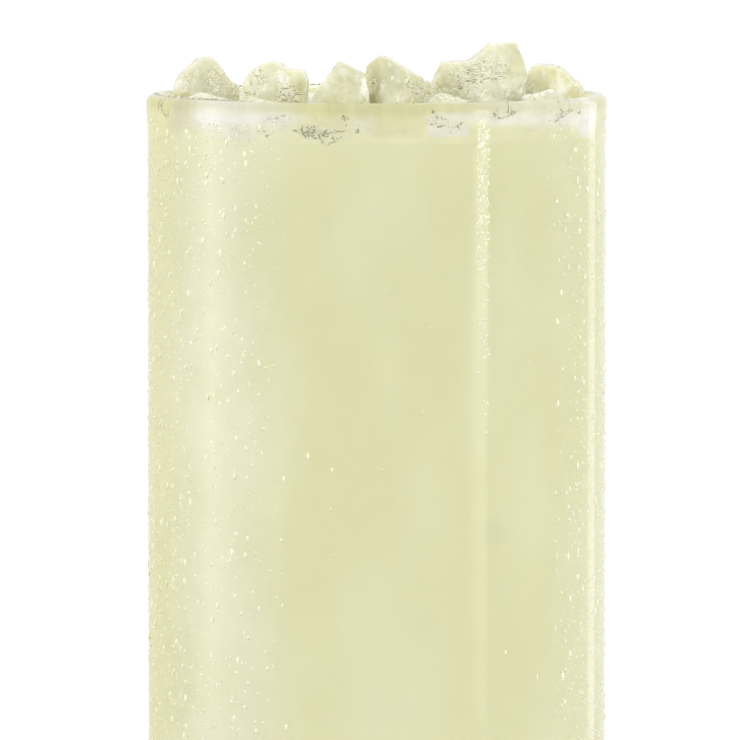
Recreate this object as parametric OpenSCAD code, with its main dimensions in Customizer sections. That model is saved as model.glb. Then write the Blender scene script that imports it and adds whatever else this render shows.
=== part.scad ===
// A tall straight glass of cloudy lemonade, filled with broken ice that stands above the rim.
// Millimetres. Z is up, the glass stands on Z = 0 and its axis is the Z axis. The side seen first faces -Y.

/* [Glass] */
// Outside width of the straight wall
glass_d = 72; // [60:0.5:90]
// Height from the table to the top of the rim
glass_h = 155; // [120:1:190]
// Thickness of the wall
wall = 2.4; // [1.8:0.1:3.2]
// Thickness of the solid bottom at the middle
base_t = 12; // [8:0.5:18]
// How far the rounded rim stands out past the wall
rim_lip = 0.3; // [0.1:0.05:0.6]
// Height over which the rim's lip runs out into the wall
rim_taper = 4.5; // [3:0.5:8]
// Radius round the outer edge of the foot
heel_r = 2.6; // [1:0.1:4]
// Radius of the corner between the inner wall and the bottom
well_r = 7; // [3:0.5:10]
// Inner radius of the ring that the glass stands on
foot_ring_r = 25; // [18:0.5:26]
// Depth of the hollow inside that ring
foot_hollow = 0.8; // [0.4:0.1:1.5]

/* [Drink] */
// Drop from the rim to the surface of the drink
ullage = 6.1; // [4.5:0.1:9]

/* [Ice] */
// Half width of the largest of the ordinary lumps
lump_r = 6.8; // [5:0.1:7.5]
// How much narrower the smallest of them is, as a share of that
lump_spread = 0.22; // [0:0.01:0.3]
// Flat breaks on an ordinary lump
lump_faces = 11; // [9:1:18]
// How unevenly a lump is broken, as a share of its half width
lump_rough = 0.22; // [0.05:0.01:0.3]
// How far the lumps reach down below the surface
lump_dip = 3.4; // [2:0.1:5]
// Gap between neighbouring lumps
lump_gap = 0.3; // [0.15:0.05:0.6]
// Gap between the lumps and the wall
wall_gap = 0.3; // [0.2:0.05:0.8]
// Most that the breaks between two lumps lean, in degrees
lump_lean = 14; // [0:1:20]
// Seed of the breaks
ice_seed = 23; // [1:1:99]

/* [Hidden] */
$fn = 144;
glass_r = glass_d / 2;
inner_r = glass_r - wall;
bead_r = (wall + rim_lip) / 2;
surface_z = glass_h - ullage;

// Size of the blocks that cut the breaks, larger than any lump
reach = 90;
// Turn from one break to the next, which spreads them evenly round a lump
golden_turn = 137.508;
// Size of the egg that a low lump's breaks are cut from, as a share of the lump
egg = 1.08;
// Width of a tall lump's bottom, as a share of its width at the drink
keel = 0.7;
// Turn of a tall lump's upper breaks, and of the ones that round off its ends
crown_turn = 12;
end_turn = 34;

// The tall lumps: place as a share of the inner radius, half width, half depth, turn, and the outline
// of what stands above the surface, as points left to right of the lump's place and above the rim.
TALL = [
    [[-0.80, 0.03], 5.2, 6.0, 4, [[-5.3, -3], [-5.2, 1], [-4, 3.2], [-1.4, 5.6], [1, 5.9], [1.8, 5], [2.7, 3.8],
        [3.8, 2.2], [5.3, 1.3], [5.4, -3]]],
    [[-0.475, -0.42], 5.2, 5.6, -6, [[-5, -3], [-4.8, 2.4], [-4, 3.9], [-2.5, 5], [-0.8, 5.7], [0.8, 5.6],
        [2, 4.6], [4.7, 4.2], [5.3, 2.6], [5, -3]]],
    [[-0.155, -0.78], 4.6, 4.6, 5, [[-5.2, -3], [-4.9, 1.9], [-3.8, 3.8], [-2.2, 4.4], [-0.4, 6.3], [1.2, 5.4],
        [3.4, 4.4], [4.4, -3]]],
    [[0.085, -0.66], 5.6, 5.6, -4, [[-6.5, -3], [-6.3, 3.9], [-4.4, 5.5], [-2.4, 7], [-0.8, 6.6], [0.8, 5.5],
        [3.8, 3.7], [5.1, 2.4], [5.5, -3]]],
    [[0.49, -0.33], 7.4, 6.4, 5, [[-8.4, -3], [-8.3, 3], [-6.5, 5.7], [-2.6, 5.7], [-1.8, 6.1], [-0.2, 7.2],
        [0.7, 8.4], [5.3, 8.6], [6.2, 6.6], [6.9, 3.8], [6.9, -3]]],
    [[0.805, 0.02], 5.0, 6.0, -6, [[-3.9, -3], [-3.3, 3.2], [-2.3, 4.8], [0.9, 4.5], [2.5, 3.8], [4.1, 2.2],
        [5.5, 1.2], [5.5, -3]]],
];

// The other lumps lie between them: place as a share of the inner radius, and how high they stand
// above the rim. They leave a patch of the drink bare at the back.
LOW = [
    [[-0.72, 0.36], 0.3], [[-0.56, 0.62], -0.9], [[0.20, 0.78], -0.6], [[0.49, 0.64], 0.5],
    [[0.74, 0.34], -0.2], [[-0.71, -0.36], -1.4], [[-0.48, -0.73], -2.2], [[0.39, -0.76], -0.6],
    [[0.73, -0.41], 0.4], [[-0.45, -0.02], 0.2], [[-0.37, 0.29], -0.4], [[0.03, 0.38], 0.4],
    [[0.37, 0.30], 1.6], [[-0.08, -0.38], 1.6], [[0.17, -0.08], 1.2], [[0.50, 0.00], 2.3],
    [[-0.13, 0.05], 0.8], [[0.66, -0.69], -1.6],
];

function two_digits(n) = n < 10 ? str("0", n) : str(n);
function ice_name(i) = str("ice_", two_digits(i + 1));
function centre(place) = inner_r * place;

// Numbers drawn for lump i, a different set for each draw
function random(low, high, count, i, draw) = rands(low, high, count, ice_seed * 1000 + i * 10 + draw);

// Every lump as [centre, half width], the tall ones first
LUMPS = concat(
    [for (t = TALL) [centre(t[0]), t[1]]],
    [for (k = [0 : len(LOW) - 1]) [centre(LOW[k][0]), lump_r * random(1 - lump_spread, 1, 1, k, 0)[0]]]
);

// Everything below a flat plane through a point, square to a direction
module below(point, direction) {
    translate(point)
        rotate([0, acos(direction.z / norm(direction)), atan2(direction.y, direction.x)])
            translate([-reach / 2, -reach / 2, -reach])
                cube(reach);
}

// Half of the space inside the glass, from its rounded bottom up to a height
module well_section(top) {
    translate([0, base_t])
        square([inner_r - well_r, top - base_t]);
    translate([0, base_t + well_r])
        square([inner_r, top - base_t - well_r]);
    translate([inner_r - well_r, base_t + well_r])
        intersection() {
            circle(well_r);
            translate([0, -well_r])
                square(well_r);
        }
}

// What is cut away outside the foot's rounded heel
module heel_section() {
    translate([glass_r - heel_r, -heel_r])
        difference() {
            square(heel_r * 2);
            translate([0, heel_r * 2])
                circle(heel_r);
        }
}

// The hollow under the foot, which leaves a ring to stand on
module foot_hollow_section() {
    polygon([[0, -1], [foot_ring_r, -1], [foot_ring_r, 0], [foot_ring_r - 2 * foot_hollow, foot_hollow],
        [0, foot_hollow]]);
}

// A straight wall on a thick foot, with a rounded rim whose lip runs out into the wall
module glass() {
    color([0.86, 0.88, 0.74, 0.4])
        difference() {
            union() {
                cylinder(h = glass_h - bead_r, r = glass_r);
                translate([0, 0, glass_h - bead_r - rim_taper])
                    cylinder(h = rim_taper, r1 = glass_r, r2 = glass_r + rim_lip);
                translate([0, 0, glass_h - bead_r])
                    rotate_extrude()
                        translate([glass_r + rim_lip - bead_r, 0])
                            circle(bead_r);
            }
            rotate_extrude()
                well_section(glass_h - bead_r);
            rotate_extrude()
                heel_section();
            rotate_extrude()
                foot_hollow_section();
        }
}

// The drink fills the glass up to its surface, and every lump stands in its own hollow in it
module lemonade() {
    color([0.88, 0.87, 0.69])
        difference() {
            rotate_extrude()
                well_section(surface_z);
            for (i = [0 : len(LUMPS) - 1])
                lump(i);
        }
}

// One lump of ice, with the breaks that keep it off its neighbours and off the wall
module lump(i) {
    place = LUMPS[i][0];
    intersection() {
        if (i < len(TALL))
            tall_lump(TALL[i], i);
        else
            low_lump(LOW[i - len(TALL)], i);
        for_neighbours(i);
        if (norm(place) > inner_r / 2)
            cylinder(h = glass_h + reach, r = inner_r - wall_gap);
    }
}

// The space between a lump's neighbours: the break between two lumps is one leaning plane that both share
module for_neighbours(i) {
    here = LUMPS[i];
    intersection_for(j = near(i)) {
        there = LUMPS[j];
        step = there[0] - here[0];
        apart = norm(step);
        share = (apart * apart + here[1] * here[1] - there[1] * there[1]) / (2 * apart);
        edge = here[0] + step / apart * (share - lump_gap / 2);
        lean = lump_lean * sin(golden_turn * (i + j)) * (i < j ? 1 : -1);
        below([edge.x, edge.y, surface_z], [step.x / apart, step.y / apart, tan(lean)]);
    }
}

// The lumps that could reach lump i
function near(i) = [
    for (j = [0 : len(LUMPS) - 1])
        if (j != i && norm(LUMPS[j][0] - LUMPS[i][0]) < 1.6 * (LUMPS[i][1] + LUMPS[j][1])) j
];

// An ordinary lump: an egg-shaped lump cut flat by breaks all round
module low_lump(row, i) {
    place = centre(row[0]);
    half_h = (ullage + row[1] + lump_dip) / 2;
    middle = [place.x, place.y, surface_z - lump_dip + half_h];
    half_w = LUMPS[i][1];
    tilt = random(0, 360, 1, i, 1)[0];
    cut = random(1 - lump_rough, 1, lump_faces, i, 2);
    translate(middle)
        intersection_for(k = [0 : lump_faces - 1]) {
            up = 1 - 2 * (k + 0.5) / lump_faces;
            out = sqrt(1 - up * up);
            turn = golden_turn * k + tilt;
            way = [out * cos(turn), out * sin(turn), up];
            below(way * cut[k] * egg * norm([half_w * out, half_h * up]), way);
        }
}

// A tall lump: its outline, broken off square behind and in front by leaning faces
module tall_lump(row, i) {
    place = centre(row[0]);
    half_d = row[2];
    outline = row[4];
    last = len(outline) - 1;
    low = -ullage - lump_dip;
    translate([place.x, place.y, glass_h])
        rotate(row[3])
            intersection() {
                translate([0, reach / 2, 0])
                    rotate([90, 0, 0])
                        linear_extrude(reach)
                            polygon(concat(outline, [[outline[last].x * keel, low], [outline[0].x * keel, low]]));
                for_sides(half_d, i);
            }
}

// Eight leaning breaks round a tall lump, four in front and four behind: two meet towards its top, and
// two steeper ones round its ends off below
module for_sides(half_d, i) {
    high_lean = random(14, 26, 8, i, 3);
    low_lean = random(6, 14, 8, i, 4);
    intersection_for(k = [0 : 7]) {
        high = k % 2 == 0;
        side = k < 4 ? -1 : 1;
        end = k % 4 < 2 ? -1 : 1;
        turn = side * 90 + end * (high ? crown_turn : end_turn);
        rise = high ? tan(high_lean[k]) : -tan(low_lean[k]);
        below([0, side * half_d, high ? 0 : -ullage / 2], [cos(turn), sin(turn), rise]);
    }
}

module ice(i) {
    color([0.87, 0.87, 0.74, 0.8])
        lump(i);
}

glass();
lemonade();
for (i = [0 : len(LUMPS) - 1])
    ice(i);
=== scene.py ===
import math
import random

import bmesh
import bpy
import numpy as np
from mathutils import Matrix, Vector, noise


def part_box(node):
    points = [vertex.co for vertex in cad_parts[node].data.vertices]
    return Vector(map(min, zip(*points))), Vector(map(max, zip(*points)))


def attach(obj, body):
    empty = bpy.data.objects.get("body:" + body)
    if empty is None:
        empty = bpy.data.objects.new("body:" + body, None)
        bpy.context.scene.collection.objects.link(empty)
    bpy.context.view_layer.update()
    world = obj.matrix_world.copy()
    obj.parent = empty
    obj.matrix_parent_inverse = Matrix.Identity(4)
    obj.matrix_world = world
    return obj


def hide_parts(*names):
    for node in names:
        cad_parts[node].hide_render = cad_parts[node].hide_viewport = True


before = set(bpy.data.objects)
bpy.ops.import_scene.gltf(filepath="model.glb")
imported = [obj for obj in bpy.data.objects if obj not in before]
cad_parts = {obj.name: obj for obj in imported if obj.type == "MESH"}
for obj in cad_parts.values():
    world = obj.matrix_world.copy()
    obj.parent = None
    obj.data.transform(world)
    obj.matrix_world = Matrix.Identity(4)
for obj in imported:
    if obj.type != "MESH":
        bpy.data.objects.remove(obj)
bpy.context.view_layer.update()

# The glass: a straight tumbler of clear soda-lime glass, made in one piece with a thick foot. Its rim is
# fire-polished round with a slight lip, and a shallow hollow under the foot leaves a ring to stand on.
glass_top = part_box("glass")[1]
drink_low, drink_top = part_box("lemonade")
rim_z = glass_top.z
surface_z = drink_top.z
inner_r = drink_top.x
rim_lip = 0.0003
outer_r = glass_top.x - rim_lip
wall = outer_r - inner_r
bead_r = (wall + rim_lip) / 2
bead_round = bead_r - 0.00001
lip_taper = 0.0045
lip_straight = 0.0004
lip_round = 0.0015
heel_r = 0.0026
well_r = 0.007
foot_ring_r = 0.025
foot_hollow = 0.0008
ring_round = 0.0008
hollow_round = 0.0012


def turned(name, corners, steps):
    """A round piece spun from its outline: points of radius, height and how far each corner is rounded."""
    bm = bmesh.new()
    points = [bm.verts.new((radius, 0, height)) for radius, height, rounding in corners]
    for first, second in zip(points, points[1:]):
        bm.edges.new((first, second))
    for point, (radius, height, rounding) in zip(points, corners):
        if rounding:
            bmesh.ops.bevel(
                bm, geom=[point], offset=rounding, offset_type="OFFSET", segments=14, profile=0.5,
                affect="VERTICES", material=-1)
    bmesh.ops.spin(
        bm, geom=bm.verts[:] + bm.edges[:], cent=(0, 0, 0), axis=(0, 0, 1), dvec=(0, 0, 0),
        angle=math.tau, steps=steps, use_merge=True, use_duplicate=False)
    bmesh.ops.remove_doubles(bm, verts=bm.verts[:], dist=1e-7)
    bmesh.ops.recalc_face_normals(bm, faces=bm.faces[:])
    piece = as_object(name, bm)
    piece.data.set_sharp_from_angle(angle=math.radians(50))
    return piece


def as_object(name, bm):
    """The finished mesh as a smooth-shaded object at the origin."""
    mesh = bpy.data.meshes.new(name)
    bm.to_mesh(mesh)
    bm.free()
    mesh.shade_smooth()
    piece = bpy.data.objects.new(name, mesh)
    bpy.context.scene.collection.objects.link(piece)
    return piece


class Finish:
    """The nodes that give a material, or the studio, its look, and the shader that they drive."""

    def __init__(self, owner, shader="Principled BSDF"):
        owner.use_nodes = True
        self.owner = owner
        self.tree = owner.node_tree
        self.shader = self.tree.nodes[shader]

    def fill(self, made, inputs):
        """Fill a node's inputs, by name or by number after a line, with values or other outputs."""
        for key, value in inputs.items():
            socket = made.inputs[int(key[1:])] if key[1:].isdigit() else made.inputs[key.replace("_", " ")]
            if isinstance(value, bpy.types.NodeSocket):
                self.tree.links.new(value, socket)
            else:
                socket.default_value = value

    def node(self, kind, settings=None, **inputs):
        """One new node with its settings and inputs."""
        made = self.tree.nodes.new(kind)
        for key, value in (settings or {}).items():
            setattr(made, key, value)
        self.fill(made, inputs)
        return made

    def set(self, **inputs):
        """Set inputs of the shader itself."""
        self.fill(self.shader, inputs)

    def coat(self, piece):
        """Give the piece this finish."""
        piece.data.materials.append(self.owner)

    def place(self):
        """The point on the piece, in metres, in the piece's own frame."""
        return self.node("ShaderNodeTexCoord").outputs["Object"]

    def along(self, axis):
        """How far the point lies along one axis, in metres."""
        return self.node("ShaderNodeSeparateXYZ", Vector=self.place()).outputs[axis]

    def painted(self, name, output="Fac"):
        """What the mesh itself holds under a name."""
        return self.node("ShaderNodeAttribute", {"attribute_name": name}).outputs[output]

    def mottle(self, scale, detail=3.0, stretch=(1, 1, 1)):
        """Soft noise from 0 to 1 whose features are about 1 / scale metres wide."""
        mapped = self.node("ShaderNodeMapping", Vector=self.place(), Scale=stretch).outputs["Vector"]
        return self.node("ShaderNodeTexNoise", Vector=mapped, Scale=scale, Detail=detail).outputs["Fac"]

    def ramp(self, value, low, high, out_low=0.0, out_high=1.0):
        """Value carried from one range to another, smoothly and held at the ends."""
        settings = {"interpolation_type": "SMOOTHSTEP"}
        return self.node("ShaderNodeMapRange", settings, Value=value, From_Min=low, From_Max=high,
                         To_Min=out_low, To_Max=out_high).outputs["Result"]

    def total(self, first, second, operation="ADD"):
        """Two numbers joined by one operation."""
        return self.node("ShaderNodeMath", {"operation": operation}, _0=first, _1=second).outputs["Value"]

    def product(self, first, second):
        """Two numbers multiplied."""
        return self.total(first, second, "MULTIPLY")

    def less(self, first, second):
        """What is left of one number once another is taken off, never under 0."""
        settings = {"operation": "SUBTRACT", "use_clamp": True}
        return self.node("ShaderNodeMath", settings, _0=first, _1=second).outputs["Value"]

    def mixed(self, share, first, second):
        """The first colour turning into the second as the share goes from 0 to 1."""
        settings = {"data_type": "RGBA"}
        return self.node("ShaderNodeMix", settings, _0=share, _6=first, _7=second).outputs["Result"]

    def scaled(self, colour, share):
        """A colour, or a point, made larger or smaller by a share."""
        settings = {"operation": "SCALE"}
        return self.node("ShaderNodeVectorMath", settings, Vector=colour, Scale=share).outputs["Vector"]


glass = turned("glass_clear", [
    (0, foot_hollow, 0),
    (foot_ring_r - 2 * foot_hollow, foot_hollow, hollow_round),
    (foot_ring_r, 0, ring_round),
    (outer_r, 0, heel_r),
    (outer_r, rim_z - bead_r - lip_taper, lip_round),
    (outer_r + rim_lip, rim_z - bead_r - lip_straight, 0),
    (outer_r + rim_lip, rim_z, bead_round),
    (inner_r, rim_z, bead_round),
    (inner_r, drink_low.z, well_r),
    (0, drink_low.z, 0),
], steps=256)

# a fine mist dulls the wall, thicker to the left and gone at the rim, and lemonade tints the wetted rim
thin_mist = 0.038
finish = Finish(bpy.data.materials.new("clear_glass"))
across, height = finish.along("X"), finish.along("Z")
below_rim = finish.ramp(height, rim_z - 0.0065, rim_z - 0.0035, 1.0, 0.0)
patchy = finish.ramp(finish.mottle(70, 4), 0.35, 0.7, 0.7, 1.3)
left_mist = finish.ramp(across, -0.010, -0.022, 0.0, 0.145)
left_mist = finish.product(left_mist, finish.ramp(across, -0.034, -0.029))
mist = finish.product(below_rim, finish.product(patchy, finish.total(left_mist, thin_mist)))
rough = finish.node("ShaderNodeMath", {"operation": "MULTIPLY_ADD"}, _0=mist, _1=0.6, _2=0.012)
wetted = finish.ramp(height, rim_z - 0.0030, rim_z - 0.0012)
finish.set(
    Base_Color=finish.mixed(wetted, (0.99, 0.99, 0.97, 1), (0.90, 0.89, 0.72, 1)),
    Roughness=rough.outputs["Value"], Transmission_Weight=finish.total(1.0, mist, "SUBTRACT"), IOR=1.5)
finish.coat(glass)
glass.visible_shadow = False
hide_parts("glass")
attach(glass, "root")

# The lemonade: cloudy with lemon, so that light soaks in but nothing shows through. It wets the glass, so
# its surface climbs a little at the wall, and it reaches just into the wall so that no air shows.
into_wall = 0.00015
climb = 0.0004
drink_r = inner_r + into_wall
drink_roughness = 0.12
drink_ior = 1.34
deep_tone, cloud_tone = (0.846, 0.835, 0.513, 1), (0.884, 0.873, 0.584, 1)
lemonade = turned("lemonade_cloudy", [
    (0, drink_low.z - into_wall, 0),
    (drink_r, drink_low.z - into_wall, well_r),
    (drink_r, surface_z + climb, 0),
    (inner_r - 0.0001, surface_z + climb, 0),
    (inner_r - 0.0005, surface_z + climb * 0.35, 0.0003),
    (inner_r - 0.0018, surface_z, 0.0008),
    (0, surface_z, 0),
], steps=192)


def cloudy_colour(finish):
    """The lemonade's colour: pale yellow with fine upright cloud in it, and a touch deeper near the top."""
    cloud = finish.ramp(finish.mottle(60, 4, (1, 1, 0.4)), 0.36, 0.66)
    darker_to_top = finish.ramp(finish.along("Z"), surface_z - 0.06, surface_z, 1.0, 0.965)
    return finish.scaled(finish.mixed(cloud, deep_tone, cloud_tone), darker_to_top)


finish = Finish(bpy.data.materials.new("cloudy_lemonade"))
finish.set(Base_Color=cloudy_colour(finish), Roughness=drink_roughness, IOR=drink_ior)
finish.coat(lemonade)
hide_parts("lemonade")
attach(lemonade, "root")

# Sunk ice: lumps under the surface that lie against the wall. Each shows as a faint paler or darker patch
# where it touches the glass, and fades into the cloudy drink around it.
chance = random.Random(7)
lump_depth = 0.0035
past_wall = 0.000008
strongest_fade = 0.045
# turn round the glass, height, half width, half height, and how much paler than the drink
sunk_spots = [
    (31.5, 0.0885, 0.0034, 0.0046, -0.9), (-14, 0.137, 0.0026, 0.0040, -0.5),
    (4, 0.114, 0.0050, 0.0080, 0.4), (38, 0.128, 0.0036, 0.0050, 0.35),
    (-28, 0.094, 0.0040, 0.0065, 0.4), (12, 0.074, 0.0045, 0.0050, -0.35)]
for _ in range(22):
    sunk_spots.append((chance.uniform(88, 272), chance.uniform(0.03, 0.14), chance.uniform(0.0025, 0.005),
                       chance.uniform(0.0035, 0.007), chance.uniform(-0.7, 0.7)))
bm = bmesh.new()
fades = []
for turn, z, wide, tall, paler in sunk_spots:
    ball = bmesh.ops.create_icosphere(bm, subdivisions=4 if abs(turn) < 40 else 3, radius=1)["verts"]
    middle = math.radians(turn)
    for vert in ball:
        side, back, rise = vert.co
        lump = 1 + 0.5 * noise.noise(vert.co * 1.1 + Vector((turn, z * 900, 3)))
        angle = middle + side * wide * lump / drink_r
        spread = side * side + rise * rise
        if back < 0:
            reach = drink_r + past_wall - 0.00006 * max(0.0, spread - 0.45)
        else:
            reach = drink_r - 0.000025 - back * lump_depth
        vert.co = Vector((reach * math.sin(angle), -reach * math.cos(angle), z + rise * tall * lump))
        inner = max(0.0, 1.0 - spread / 0.42)
        fades.append(1 + strongest_fade * paler * min(1.0, inner * 1.6))
bmesh.ops.recalc_face_normals(bm, faces=bm.faces[:])
sunk = as_object("sunk_ice", bm)
sunk.data.attributes.new("fade", "FLOAT", "POINT").data.foreach_set("value", fades)

finish = Finish(bpy.data.materials.new("sunk_ice"))
faded = finish.scaled(cloudy_colour(finish), finish.painted("fade"))
finish.set(Base_Color=faded, Roughness=drink_roughness, IOR=drink_ior)
finish.coat(sunk)
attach(sunk, "root")

# Bubbles: small ones float at the surface in a broken ring, held against the wall and between the lumps.
# Each is a thin skin of lemonade round air.
bubble_count = 150
bm = bmesh.new()
for _ in range(bubble_count):
    turn, size = chance.uniform(0, math.tau), chance.uniform(0.00025, 0.0007)
    away = inner_r - size * 0.8 if chance.random() < 0.6 else chance.uniform(0.006, inner_r - 0.001)
    at = Matrix.Translation((away * math.sin(turn), -away * math.cos(turn), surface_z + size * 0.25))
    bmesh.ops.create_icosphere(bm, subdivisions=2, radius=size, matrix=at)
bubbles = as_object("surface_bubbles", bm)
finish = Finish(bpy.data.materials.new("bubble_skin"))
skin = finish.ramp(finish.mottle(900, 2), 0.3, 0.7, 0.0, 0.05)
finish.set(Base_Color=(0.97, 0.965, 0.88, 1), Roughness=skin, Transmission_Weight=0.85, IOR=1.12)
finish.coat(bubbles)
bubbles.visible_shadow = False
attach(bubbles, "root")

# The film: lemonade and slush that cling to the inside of the wall from the surface up to the rim. Where
# ground ice lies in it the film is paler, and it is thinner in places. The pale patches just under the rim
# are partly ground ice and partly painted highlight.
film_low = surface_z - 0.0003
film_r = drink_r + 0.00002
film_top = rim_z - 0.0006
film_rows = [film_low + (rim_z - bead_r - film_low) * step / 20 for step in range(21)]
film = turned("lemonade_film", [
    *[(film_r, z, 0) for z in film_rows],
    (film_r + 0.0002, film_top, 0),
    (film_r, film_top, 0),
    (film_r - 0.0003, film_rows[-1], 0),
    (film_r - 0.0004, film_low, 0),
    (film_r, film_low, 0),
], steps=288)

# the frost patches under the rim are partly ground ice and partly painted highlight
slush_tone, frost_and_highlight_tone, dull_tone, lump_tone = (
    (0.866, 0.849, 0.555), (0.99, 0.975, 0.97), (0.90, 0.885, 0.79), (0.835, 0.815, 0.535))
# turn, mm under the rim, half width in degrees, half height in mm, tone and strength
patches = [
    (-44, 2.4, 18, 2.0, frost_and_highlight_tone, 1.0), (-28, 2.2, 9, 1.0, frost_and_highlight_tone, 0.75),
    (-3.6, 3.0, 4, 2.2, (0.885, 0.87, 0.68), 0.8), (-60, 3.0, 6, 2.6, (0.77, 0.735, 0.56), 0.95),
    (-42, 4.4, 11, 1.6, dull_tone, 0.6), (-27, 3.8, 8, 1.6, dull_tone, 0.5),
    (19, 2.2, 7, 0.8, frost_and_highlight_tone, 0.7), (34, 2.3, 11, 1.5, frost_and_highlight_tone, 0.75),
    (48, 2.4, 10, 1.9, frost_and_highlight_tone, 0.7), (60, 2.6, 7, 2.0, frost_and_highlight_tone, 0.7),
    (68, 3.2, 6, 3.2, frost_and_highlight_tone, 1.0), (-14, 4.0, 8, 2.0, (0.83, 0.81, 0.58), 0.6),
    (100, 2.4, 12, 1.4, frost_and_highlight_tone, 0.6), (135, 2.0, 15, 1.0, dull_tone, 0.7),
    (170, 2.2, 12, 1.5, frost_and_highlight_tone, 0.6), (-95, 2.2, 10, 1.2, frost_and_highlight_tone, 0.6),
    (-130, 2.0, 16, 1.1, dull_tone, 0.8), (-160, 2.6, 10, 1.6, frost_and_highlight_tone, 0.5)]
# lumps pressed to the wall: first and last turn, first and last mm under the rim, tone and strength
blocks = [(-0.5, 12.4, 1.0, 5.5, lump_tone, 0.9), (12.8, 24.5, 2.6, 5.3, dull_tone, 0.85)]
side_blur, top_blur, foot_blur = 0.6, 0.9, 0.25
tones = []
for vert in film.data.vertices:
    turn = math.degrees(math.atan2(vert.co.x, -vert.co.y))
    down = (rim_z - vert.co.z) * 1000
    tone = Vector(slush_tone)
    for at_turn, at_down, wide, tall, patch_tone, strength in patches:
        apart = math.hypot((turn - at_turn) / wide, (down - at_down) / tall)
        share = max(0.0, min(1.0, 1.6 - 1.2 * apart)) * strength
        tone = tone.lerp(Vector(patch_tone), share)
    for turn_a, turn_b, down_a, down_b, block_tone, strength in blocks:
        inside = min((turn - turn_a) / side_blur, (turn_b - turn) / side_blur,
                     (down - down_a) / top_blur, (down_b - down) / foot_blur)
        tone = tone.lerp(Vector(block_tone), max(0.0, min(1.0, inside)) * strength)
    tones.extend([*tone, 1])
film.data.attributes.new("tone", "FLOAT_COLOR", "POINT").data.foreach_set("color", tones)

finish = Finish(bpy.data.materials.new("slush_film"))
cloud = finish.ramp(finish.mottle(260, 4), 0.38, 0.62, 0.96, 1.02)
thin = finish.ramp(finish.mottle(160, 3), 0.50, 0.70, 0.02, 0.25)
above_drink = finish.ramp(finish.along("Z"), surface_z + 0.0004, surface_z + 0.002)
finish.set(
    Base_Color=finish.scaled(finish.painted("tone", "Color"), cloud),
    Roughness=0.15, Transmission_Weight=finish.product(thin, above_drink), IOR=drink_ior)
finish.coat(film)
film.visible_shadow = False
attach(film, "root")

# The ice above the drink: lumps of broken ice, wet with lemonade. Their breaks are dished like chipped
# stone, their edges have begun to melt, and parts of each lump are crazed with cracks and trapped air.
worn_size = 0.0003
dish_depth = 0.00042
nick_depth = 0.0005
swell_height = 0.0002
melted = 0.0001
front_half = 0.006
ice_ior = 1.31
shards_to_metre = 1500
grains_to_metre = 5600
finish = Finish(bpy.data.materials.new("wet_ice"))
marks = finish.node("ShaderNodeSeparateColor", Color=finish.painted("marks", "Color"))
ragged = finish.ramp(finish.mottle(420, 4), 0.3, 0.7, -0.35, 0.35)
crazed = finish.ramp(finish.total(marks.outputs["Red"], ragged), 0.42, 0.58)
seams = finish.ramp(finish.total(marks.outputs["Green"], ragged), 0.40, 0.60)
air = finish.ramp(finish.total(marks.outputs["Blue"], ragged), 0.25, 1.0, 0.0, 0.85)

# every shard leans its own way, and catches the light by itself
shards = finish.node("ShaderNodeTexVoronoi", Vector=finish.place(), Scale=shards_to_metre)
lean = finish.node(
    "ShaderNodeVectorMath", {"operation": "SUBTRACT"}, _0=shards.outputs["Color"], _1=(0.5, 0.5, 0.5))
reach = finish.node(
    "ShaderNodeVectorMath", {"operation": "SUBTRACT"},
    _0=finish.scaled(finish.place(), shards_to_metre), _1=shards.outputs["Position"])
facets = finish.node(
    "ShaderNodeVectorMath", {"operation": "DOT_PRODUCT"},
    _0=reach.outputs["Vector"], _1=lean.outputs["Vector"])
broken = finish.total(crazed, 0.35, "MAXIMUM")
bump = finish.node("ShaderNodeBump", Height=facets.outputs["Value"], Strength=broken, Distance=0.0003)

# crazed ice is strewn with bright and dark grains, and seamed ice is drawn with dark and pale lines
grains = finish.node("ShaderNodeTexVoronoi", Vector=finish.place(), Scale=grains_to_metre).outputs["Color"]
grain = finish.node("ShaderNodeSeparateXYZ", Vector=grains)
bright = finish.product(finish.ramp(grain.outputs["X"], 0.74, 0.84, 0.0, 0.8), crazed)
dark = finish.product(finish.ramp(grain.outputs["Y"], 0.72, 0.84, 0.0, 0.7), crazed)
layered = finish.product(finish.mottle(700, 2, (0.36, 0.36, 1.5)), 9.0)
layered = finish.total(layered, 0.5, "PINGPONG")
line = finish.product(finish.ramp(layered, 0.05, 0.15, 0.85, 0.0), seams)
pale = finish.product(finish.ramp(layered, 0.36, 0.46, 0.0, 0.55), seams)

soft = finish.ramp(finish.mottle(75, 2), 0.38, 0.62)
body = finish.mixed(soft, (0.775, 0.76, 0.50, 1), (0.80, 0.79, 0.625, 1))
# painted shade: small darker patches for the dark seen deep in the ice; painted highlight: pale glint
# streaks
painted_depth_shade = finish.ramp(finish.mottle(900, 5), 0.46, 0.60, 0.0, 0.5)
painted_glints = finish.ramp(finish.mottle(640, 4, (1.4, 1.4, 0.7)), 0.56, 0.66, 0.0, 0.6)
for share, tone in (
        (painted_depth_shade, (0.68, 0.665, 0.46, 1)), (painted_glints, (0.93, 0.925, 0.80, 1)), (air, (0.94, 0.93, 0.875, 1)),
        (finish.total(bright, pale, "MAXIMUM"), (0.98, 0.97, 0.87, 1)),
        (dark, (0.60, 0.57, 0.38, 1)), (line, (0.34, 0.31, 0.19, 1))):
    body = finish.mixed(share, body, tone)

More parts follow.
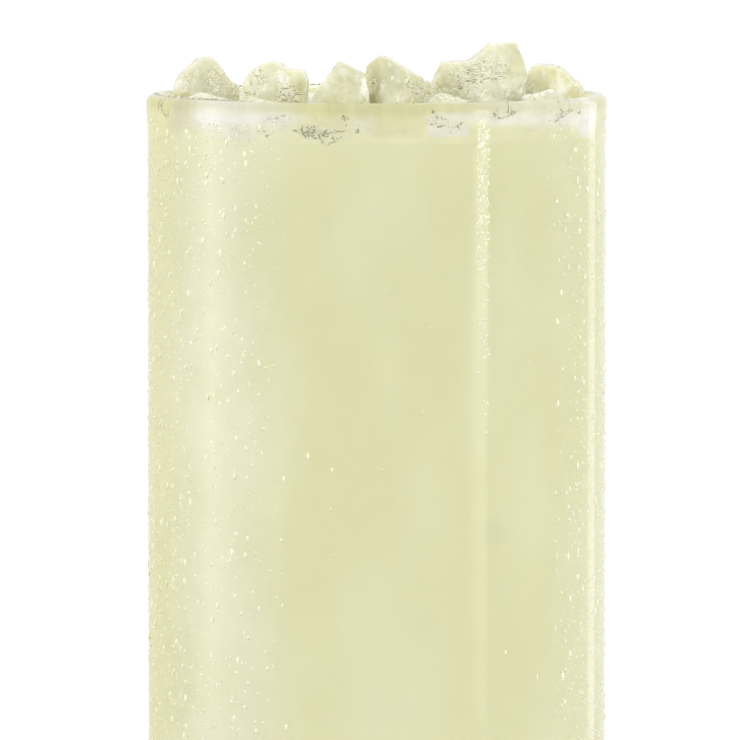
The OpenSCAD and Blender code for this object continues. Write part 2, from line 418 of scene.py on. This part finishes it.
clear = finish.ramp(finish.mottle(95, 2), 0.40, 0.62, 0.03, 0.20)
clear = finish.product(clear, finish.ramp(finish.along("Z"), surface_z + 0.001, rim_z + 0.002, 0.3, 1.0))
solid = finish.total(
    finish.total(line, air, "MAXIMUM"), finish.total(bright, dark, "MAXIMUM"), "MAXIMUM")
finish.set(
    Base_Color=body, Normal=bump.outputs["Normal"], Transmission_Weight=finish.less(clear, solid),
    Roughness=finish.ramp(finish.mottle(500, 2), 0.3, 0.7, 0.08, 0.15), IOR=ice_ior,
    Subsurface_Weight=0.7, Subsurface_Radius=(1.0, 0.97, 0.75), Subsurface_Scale=0.004)

# mm across, mm above the rim and reach in mm, then how crazed, how seamed and how full of air
mark_spots = [
    ((-24.5, 2.2, 2.4), (1, 0.1, 0)), ((-22.5, 0.4, 1.8), (1, 0, 0.2)), ((-29.0, 2.4, 1.6), (0.6, 0, 0)),
    ((-31.2, 1.0, 1.3), (0.3, 0, 0.8)), ((-14.2, 0.4, 1.7), (0.2, 0.9, 0.6)),
    ((-12.2, 0.6, 1.5), (0, 0.9, 0.6)), ((-1.2, 2.0, 1.7), (0, 0, 0.5)), ((-14.5, 3.4, 1.3), (0.6, 0, 0.8)),
    ((-18.0, 2.4, 1.2), (0.7, 0, 0)), ((2.4, 3.6, 0.35), (0, 0, 1.1)), ((-0.5, 2.6, 1.3), (0.3, 0.6, 0)),
    ((5.0, 2.2, 1.5), (0.4, 0.8, 0.1)), ((7.4, 0.4, 1.2), (0.4, 0.7, 0.2)),
    ((11.5, 2.0, 2.3), (0.7, 0.3, 0)), ((14.8, 4.0, 1.3), (0.2, 1.2, 0)), ((17.0, 4.2, 1.5), (0.1, 1.3, 0)),
    ((19.2, 4.3, 1.4), (0.1, 1.3, 0)), ((14.0, 2.4, 1.6), (0.5, 0.3, 0)), ((10.4, 0.0, 1.8), (1, 0, 0.3)),
    ((15.0, -0.2, 2.0), (0.8, 0.1, 0.5)), ((21.5, 0.0, 1.8), (1, 0, 0.2)),
    ((27.2, 2.4, 1.6), (0.6, 0.2, 0.2)), ((29.0, 1.2, 2.2), (0, 0, 0.5)), ((24.0, 0.4, 1.8), (1, 0.1, 0.5)),
    ((31.5, 1.6, 1.2), (0.2, 0.5, 0))]


def hash_of(words):
    """A steady number from 0 to 1 for a name."""
    return (sum(ord(letter) * (count + 7) ** 2 for count, letter in enumerate(words)) % 997) / 997


def broken_lump(name, source):
    """A lump of ice from a CAD lump: its edges worn round, and its faces dished by smaller breaks."""
    lump = bpy.data.objects.new(name, source.data.copy())
    bpy.context.scene.collection.objects.link(lump)
    bm = bmesh.new()
    bm.from_mesh(lump.data)
    bmesh.ops.remove_doubles(bm, verts=bm.verts[:], dist=1e-6)
    bm.to_mesh(lump.data)
    bm.free()
    worn = lump.modifiers.new("worn", "REMESH")
    worn.mode = "VOXEL"
    worn.voxel_size = worn_size
    held = bpy.context.evaluated_depsgraph_get()
    mesh = bpy.data.meshes.new_from_object(lump.evaluated_get(held))
    bpy.data.objects.remove(lump)
    bm = bmesh.new()
    bm.from_mesh(mesh)
    bm.normal_update()
    shift = Vector((hash_of(name), hash_of(name + "y"), hash_of(name + "z"))) * 50
    moves, marks = [], []
    for vert in bm.verts:
        at = vert.co * 1000 + shift
        mark = Vector([max(0.0, 3.0 * noise.noise(at * 0.13 + Vector((20 * channel, 0, 0))) - fewer)
                       for channel, fewer in enumerate((0.45, 0.6, 0.9))])
        if vert.co.y < front_half:
            mark *= 0.35
            for (spot_x, above_rim, reach), strengths in mark_spots:
                aside, rise = vert.co.x * 1000 - spot_x, (vert.co.z - rim_z) * 1000 - above_rim
                apart = math.hypot(aside, rise) / reach
                mark += Vector(strengths) * max(0.0, min(1.0, 1.7 - 1.2 * apart))
        marks.extend([min(1.0, mark.x), min(1.0, mark.y), min(1.0, mark.z), 1])
        chips, _ = noise.voronoi(at * 0.36)
        fine, _ = noise.voronoi(at * 1.1)
        rough = min(1.0, mark.x + mark.y)
        dish = 0.55 - chips[0] * 0.9
        nick = 0.3 - fine[0] * 0.6
        swell = noise.noise(at * 0.45) * 0.25
        moves.append(vert.normal * (-dish_depth * max(dish, 0) - nick_depth * rough * max(nick, 0)
                                    + swell_height * swell - melted))
    for vert, move in zip(bm.verts, moves):
        vert.co += move
    bpy.data.meshes.remove(mesh)
    piece = as_object(name, bm)
    piece.data.attributes.new("marks", "FLOAT_COLOR", "POINT").data.foreach_set("color", marks)
    return piece


for node_name, cad_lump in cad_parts.items():
    if node_name.startswith("ice_"):
        lump = broken_lump(node_name + "_broken", cad_lump)
        finish.coat(lump)
        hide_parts(node_name)
        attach(lump, "root")

# Condensation: water beaded on the cold outside of the glass, from fine beads to drops that have run
# together and short runs. Each is a low dome that holds on to the wall, with painted light in its colour: a
# painted highlight on top and painted shade to one side.
fogged_top = rim_z - 0.0024
fogged_low = 0.006
# the stretch of wall that was wiped bare, in degrees; the share of drops gone there; the share kept behind
bare_middle, bare_half, bare_blur = 12, 46, 12
bare_share = 0.985
back_share = 0.82
# a band of the wall a little right of the front, under the rim, where small drops crowd
band_turns = (0.443, 0.503)
band_top = fogged_top - 0.0004
band_fall = 0.034
band_count = 210


def painted_light_colour(finish, milky, painted_dark, middle, middle_at, bright):
    """Colour of small wet bits from their painted light, painted shade to painted highlight, clouded where
    milky.
    """
    shade = finish.node("ShaderNodeValToRGB", Fac=finish.less(finish.painted("painted_lit"), milky))
    shade.color_ramp.elements[0].color = painted_dark
    shade.color_ramp.elements[1].color = bright
    shade.color_ramp.elements.new(middle_at).color = middle
    return shade.outputs["Color"]


# the water's colour is painted light: a painted highlight on each drop's top and painted shade to one side
finish = Finish(bpy.data.materials.new("water"))
milky = finish.ramp(finish.mottle(300, 2), 0.3, 0.7, 0.0, 0.12)
colour = painted_light_colour(finish, milky, (0.50, 0.47, 0.32, 1), (0.88, 0.86, 0.58, 1), 0.45, (1.0, 1.0, 0.90, 1))
finish.set(Base_Color=colour, Roughness=0.06, Transmission_Weight=0.35, IOR=1.33)


def dome(around, up):
    """A closed half ball of radius 1 standing on Z = 0: its corners, its faces, and each corner's painted
    light.
    """
    bm = bmesh.new()
    bmesh.ops.create_uvsphere(bm, u_segments=around, v_segments=up * 2, radius=1)
    cut = bmesh.ops.bisect_plane(
        bm, geom=bm.verts[:] + bm.edges[:] + bm.faces[:], plane_co=(0, 0, 0), plane_no=(0, 0, 1),
        clear_inner=True)
    edge = [part for part in cut["geom_cut"] if isinstance(part, bmesh.types.BMEdge)]
    bmesh.ops.contextual_create(bm, geom=edge)
    bmesh.ops.triangulate(bm, faces=bm.faces[:])
    bmesh.ops.recalc_face_normals(bm, faces=bm.faces[:])
    corners = np.array([vert.co for vert in bm.verts])
    faces = np.array([[vert.index for vert in face.verts] for face in bm.faces])
    bm.free()
    # painted light: brighter on top, darker towards one side
    painted_lit = np.clip(0.35 + 0.65 * corners[:, 2] - 0.25 * corners[:, 0] + 0.35 * corners[:, 1], 0, 1)
    return corners, faces, painted_lit


def on_the_wall(name, shape, bits, finish, radius=outer_r - 0.00003, lip=rim_lip):
    """One mesh of many bits: (turn, height, half width, half length, thickness, lean, raise of painted
    light).
    """
    corners, faces, painted_lit = shape
    places, painted_lights = [], []
    for turn, z, half_w, half_l, thick, lean, painted_lighter in bits:
        across, along = corners[:, 0] * half_w, corners[:, 1] * half_l
        side = across * math.cos(lean) + along * math.sin(lean)
        rise = along * math.cos(lean) - across * math.sin(lean)
        flare = lip * min(1.0, max(0.0, (z - rim_z + bead_r + lip_taper) / lip_taper))
        out, angle = radius + flare + corners[:, 2] * thick, turn + side / radius
        places.append(np.stack([out * np.sin(angle), -out * np.cos(angle), z + rise], axis=1))
        painted_lights.append(np.clip(painted_lit + painted_lighter, 0, 1))
    step = np.arange(len(places))[:, None, None] * len(corners)
    mesh = bpy.data.meshes.new(name)
    mesh.from_pydata(np.concatenate(places).tolist(), [], (faces[None] + step).reshape(-1, 3).tolist())
    mesh.attributes.new("painted_lit", "FLOAT", "POINT").data.foreach_set("value", np.concatenate(painted_lights))
    mesh.shade_smooth()
    piece = bpy.data.objects.new(name, mesh)
    bpy.context.scene.collection.objects.link(piece)
    finish.coat(piece)
    piece.visible_shadow = False
    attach(piece, "root")
    return piece


chance = random.Random(41)


def from_front(turn, middle):
    """How many degrees round the glass a turn lies from another, counted from the front."""
    return abs((math.degrees(turn) - middle + 180) % 360 - 180)


def scattered(spacing, keep, sizes, stretch, flat):
    """Drops on a jittered net round the glass, in patches, with sizes drawn between two radii."""
    drops = []
    around = int(math.tau * outer_r / spacing)
    rows = int((fogged_top - fogged_low) / spacing)
    for row in range(rows):
        for column in range(around):
            turn = (column + chance.uniform(0.05, 0.95)) * math.tau / around
            z = fogged_low + (row + chance.uniform(0.05, 0.95)) * spacing
            at = Vector((math.sin(turn) * outer_r, -math.cos(turn) * outer_r, z)) * 1000
            patch = 0.5 + 0.9 * noise.noise(at * 0.09)
            wiped = max(0.0, min(1.0, (bare_half - from_front(turn, bare_middle)) / bare_blur))
            behind = back_share if math.cos(turn) < -0.2 else 1
            if chance.random() > keep * behind * (0.5 + 0.9 * patch) * (1 - bare_share * wiped):
                continue
            size = sizes[0] * (sizes[1] / sizes[0]) ** (chance.random() ** 1.8)
            length = size * chance.uniform(*stretch)
            thick = size * chance.uniform(*flat)
            drops.append((turn, z, size, length, thick, 0, chance.uniform(-0.1, 0.35)))
    return drops


# the drops in this band are painted brighter than the rest, a painted highlight
band_drops = []
for _ in range(band_count):
    size = chance.uniform(0.00010, 0.00021)
    down = band_fall * chance.expovariate(3.0)
    band_drops.append((chance.uniform(*band_turns), band_top - down, size, size * chance.uniform(1, 1.5),
                       size * 0.6, 0, chance.uniform(0.3, 0.55)))
beads = scattered(0.00158, 0.80, (0.00011, 0.00025), (0.9, 1.6), (0.6, 0.8))
larger_drops = scattered(0.0028, 0.60, (0.00023, 0.00040), (1.0, 1.9), (0.5, 0.7))
runs = scattered(0.0038, 0.62, (0.00011, 0.00018), (2.4, 4.8), (0.7, 0.9))
for name, shape, drops in (
        ("condensation_beads", dome(5, 2), beads),
        ("condensation_drops", dome(9, 3), larger_drops + band_drops),
        ("condensation_runs", dome(8, 3), runs)):
    on_the_wall(name, shape, drops, finish)

# Splinters: bits of broken ice pressed flat against the inside of the wall under the rim, in clusters
# where lumps have been crushed, and grains caught in a broken row on the inner edge of the rim. Some are
# painted dark as painted shade and the rest bright as painted glints; most rim grains are painted dark as a
# line of painted shade.
finish = Finish(bpy.data.materials.new("splinter_ice"))
milky = finish.ramp(finish.mottle(900, 2), 0.3, 0.7, 0.0, 0.2)
# the splinters' colour is painted light, from painted shade to painted glints
colour = painted_light_colour(finish, milky, (0.47, 0.44, 0.27, 1), (0.84, 0.82, 0.58, 1), 0.5, (1.0, 1.0, 0.95, 1))
finish.set(Base_Color=colour, Roughness=0.08, Transmission_Weight=0.2, IOR=ice_ior)


def splinter():
    """A flat three-sided splinter: its corners, its faces, and an even painted light on it."""
    bm = bmesh.new()
    bmesh.ops.create_cone(bm, cap_ends=True, segments=3, radius1=1, radius2=0.55, depth=1)
    bmesh.ops.triangulate(bm, faces=bm.faces[:])
    bmesh.ops.recalc_face_normals(bm, faces=bm.faces[:])
    corners = np.array([vert.co for vert in bm.verts])
    faces = np.array([[vert.index for vert in face.verts] for face in bm.faces])
    bm.free()
    return corners, faces, np.full(len(corners), 0.5)


# turn, mm under the rim, spread in degrees, spread in mm, how many, and the share painted dark as shade
clusters = [
    (-17.5, 4.5, 2.0, 0.9, 80, 0.75), (-14, 4.8, 3.4, 1.4, 36, 0.4), (-26, 2.7, 3.0, 0.8, 26, 0.15),
    (-25, 3.4, 1.6, 0.9, 24, 0.0), (-8, 2.3, 1.2, 0.8, 10, 0.6), (-6, 4.0, 2.2, 1.0, 10, 0.2),
    (15, 2.6, 2.6, 1.0, 26, 0.2), (19, 4.0, 3.0, 1.2, 12, 0.2), (32, 2.0, 3.0, 0.7, 18, 0.15),
    (37, 1.7, 2.0, 0.4, 12, 0.5), (54, 2.6, 4.0, 1.1, 34, 0.3), (63, 1.9, 2.0, 0.5, 8, 0.5),
    (-70, 2.2, 4.0, 1.2, 30, 0.7), (-48, 3.6, 9.0, 1.0, 26, 0.1), (-38, 4.9, 8.0, 1.2, 70, 0.1)]
side_and_back_clusters = 16
for _ in range(side_and_back_clusters):
    clusters.append((chance.uniform(78, 282), chance.uniform(1.8, 4.6), chance.uniform(1.5, 4), 0.8, 20,
                     chance.uniform(0.2, 0.7)))
# from a turn and mm under the rim to another, and the share painted dark as shade
spikes = [
    (-15, 4.7, -8, 4.2, 0.6), (-15, 4.7, -13.5, 6.6, 0.7), (-13.5, 6.6, -9, 5.2, 0.4),
    (-22, 4.3, -16.5, 4.7, 0.7), (-15, 4.7, -16.5, 3.3, 0.4), (33, 2.6, 39, 1.6, 0.3),
    (52, 3.4, 60, 1.6, 0.4), (53, 2.4, 58, 1.7, 0.5), (-30, 3.0, -24, 1.9, 0.1)]
# how far a splinter's painted light is lowered for painted shade and raised for a painted glint
painted_dark, painted_bright = -0.45, 0.45
splinter_thick = 0.0001
grain_thick = 0.0004
spike_spacing = 0.00012
# on the rim, in degrees: where most grains are gone, and where they are packed and larger
rim_bare, rim_bare_half, rim_bare_share = -5, 29, 0.9
rim_packed, rim_packed_half, rim_packed_growth = -57, 13, 1.8
bits, rim_row = [], []
for at_turn, down, wide, tall, count, darks in clusters:
    for _ in range(count):
        size = chance.uniform(0.00011, 0.00032)
        bits.append((math.radians(chance.gauss(at_turn, wide * 0.5)),
                     rim_z - (down + chance.gauss(0, tall * 0.5)) / 1000,
                     size * chance.uniform(0.4, 1), size * chance.uniform(1, 2.6), splinter_thick,
                     chance.uniform(0, math.pi), painted_dark if chance.random() < darks else painted_bright))
for turn_a, down_a, turn_b, down_b, darks in spikes:
    run = Vector((math.radians(turn_b - turn_a) * inner_r, (down_a - down_b) / 1000))
    for _ in range(int(run.length / spike_spacing)):
        share = chance.random()
        bits.append((math.radians(turn_a + (turn_b - turn_a) * share + chance.gauss(0, 0.15)),
                     rim_z - (down_a + (down_b - down_a) * share + chance.gauss(0, 0.07)) / 1000,
                     chance.uniform(0.00006, 0.00013), chance.uniform(0.0002, 0.0005), splinter_thick,
                     math.atan2(run.x, run.y) + chance.gauss(0, 0.15),
                     painted_dark if chance.random() < darks else painted_bright))
turn = 0
while turn < math.tau:
    turn += chance.uniform(0.004, 0.014)
    bare = from_front(turn, rim_bare) < rim_bare_half and chance.random() < rim_bare_share
    if not bare and noise.noise(Vector((math.sin(turn) * 1.6, math.cos(turn) * 1.6, 5.5))) > -0.12:
        packed = from_front(turn, rim_packed) < rim_packed_half
        size = chance.uniform(0.00008, 0.00015) * (rim_packed_growth if packed else 1)
        rim_row.append((turn, rim_z + 0.00002, size * chance.uniform(1, 3), size, grain_thick, 0,
                        painted_dark if chance.random() < 0.8 else 0.4))
on_the_wall("rim_grains", splinter(), rim_row, finish, inner_r + bead_r * 0.75, 0)
bits = [bit for bit in bits if film_low + 0.0001 < bit[1] < rim_z - bead_r]
on_the_wall("ice_splinters", splinter(), bits, finish, film_r + 0.00005, 0)

# The table and the light: a pale table in a white studio. The walls of the studio glow evenly, with a
# long soft panel to the left, a narrow one to the right that ends above the table, and one behind.
bm = bmesh.new()
bmesh.ops.create_circle(bm, cap_ends=True, segments=96, radius=0.45)
table = as_object("table_top", bm)
finish = Finish(bpy.data.materials.new("pale_table"))
paint = finish.mixed(finish.mottle(30, 4), (0.90, 0.90, 0.89, 1), (0.93, 0.93, 0.92, 1))
finish.set(Base_Color=paint, Roughness=0.6)
finish.coat(table)

studio = Finish(bpy.data.worlds.new("studio"), "Background")
way = studio.node("ShaderNodeSeparateXYZ", Vector=studio.node("ShaderNodeTexCoord").outputs["Generated"])
right_way, back_way, up_way = way.outputs["X"], way.outputs["Y"], way.outputs["Z"]
turn = studio.total(right_way, studio.product(back_way, -1.0), "ARCTAN2")
turn = studio.node("ShaderNodeMath", {"operation": "DEGREES"}, _0=turn).outputs["Value"]


def strip(low, high, soft_low, soft_high, glow):
    """The glow of an upright panel between two turns round the glass, with a soft edge on each side."""
    rise = studio.ramp(turn, low - soft_low, low + soft_low, 0.0, glow)
    fall = studio.ramp(turn, high - soft_high, high + soft_high, 1.0, 0.0)
    return studio.product(rise, fall)


low_wall = studio.ramp(up_way, 0.15, 0.55, 1.0, 0.0)
left_end = studio.product(low_wall, studio.ramp(up_way, -0.098, -0.060, 0.15, 1.0))
right_end = studio.product(low_wall, studio.ramp(up_way, -0.098, -0.066, 0.4, 1.0))
glow = studio.total(studio.ramp(back_way, -0.6, 0.5, 0.945, 1.0), studio.ramp(up_way, 0.3, 0.9, 0.0, 0.4))
glow = studio.total(glow, studio.ramp(turn, -178, -110, -0.12, 0.0))
glow = studio.total(glow, studio.ramp(right_way, 0.35, 0.9, 0.0, 0.05))
# each panel: the turns of its two edges, how soft each edge is, its glow, and how high it reaches
for panel, reach in (
        (strip(-104, -78, 13, 12, 0.75), low_wall),
        (strip(-96, -87, 7, 5, 0.45), low_wall),
        (strip(-94, -90.5, 1.6, 1.2, 0.7), left_end),
        (strip(50, 57.4, 3.5, 0.6, 2.4), right_end),
        (strip(134, 143.5, 2.5, 2, 0.75), low_wall)):
    glow = studio.total(glow, studio.product(panel, reach))
seen = studio.node("ShaderNodeLightPath").outputs["Is Camera Ray"]
wall_white = 1.05
level = studio.node("ShaderNodeMix", {"data_type": "FLOAT"}, _0=seen, _2=glow, _3=wall_white)
warmth = studio.product(strip(-166, -122, 8, 8, 1.0), low_wall)
white, warm = (1, 1, 1, 1), (1.0, 0.96, 0.72, 1)
studio_colour = studio.mixed(seen, studio.mixed(warmth, white, warm), white)
studio.set(Color=studio_colour, Strength=level.outputs["Result"])
bpy.context.scene.world = studio.owner

# The camera: a long lens a metre and a half away, a little above the rim and looking slightly down, so that
# the upper two thirds of the glass fill the frame.
aside = -0.00106
lens_back = 1.4986
lens_up = 0.0655
aim_down = 0.0436
camera_data = bpy.data.cameras.new("camera")
camera_data.lens = 464
camera_data.sensor_width = 36
camera = bpy.data.objects.new("camera", camera_data)
aim = Vector((aside, 0, rim_z - aim_down))
camera.location = (aside, -lens_back, rim_z + lens_up)
camera.rotation_euler = (aim - camera.location).to_track_quat("-Z", "Y").to_euler()
bpy.context.scene.collection.objects.link(camera)
bpy.context.scene.camera = camera
bpy.context.scene.view_settings.view_transform = "Standard"

bpy.context.view_layer.update()
